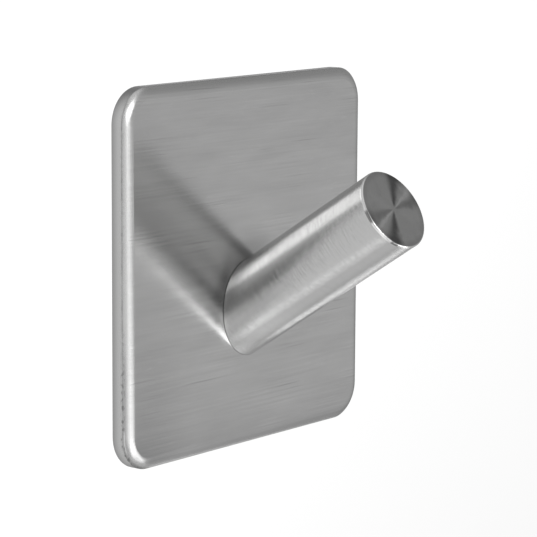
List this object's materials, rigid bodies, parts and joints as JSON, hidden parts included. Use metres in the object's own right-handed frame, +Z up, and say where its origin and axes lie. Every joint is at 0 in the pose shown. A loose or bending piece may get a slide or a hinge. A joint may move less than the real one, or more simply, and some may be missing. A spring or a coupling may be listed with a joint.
{
  "type": "adhesive wall hook",
  "caption": "Square brushed steel plate with rounded corners and a round peg rising from its face; foam tape behind it sticks it to a wall to hang towels or clothes.",
  "frame": {"origin": "the middle of the adhesive pad's wall side", "axes": "+Y into the wall, +Z up, the face and the peg point toward -Y"},
  "size_m": [0.045, 0.027, 0.045],
  "materials": {
    "plate_steel": "brushed along the plate's width",
    "peg_steel": "satin polished around the bar, turned end face",
    "foam_tape": "matt closed-cell foam with a tacky adhesive side"
  },
  "bodies": {
    "root": {"back_plate": "plate_steel", "peg": "peg_steel", "adhesive_pad": "foam_tape"}
  },
  "joints": []
}
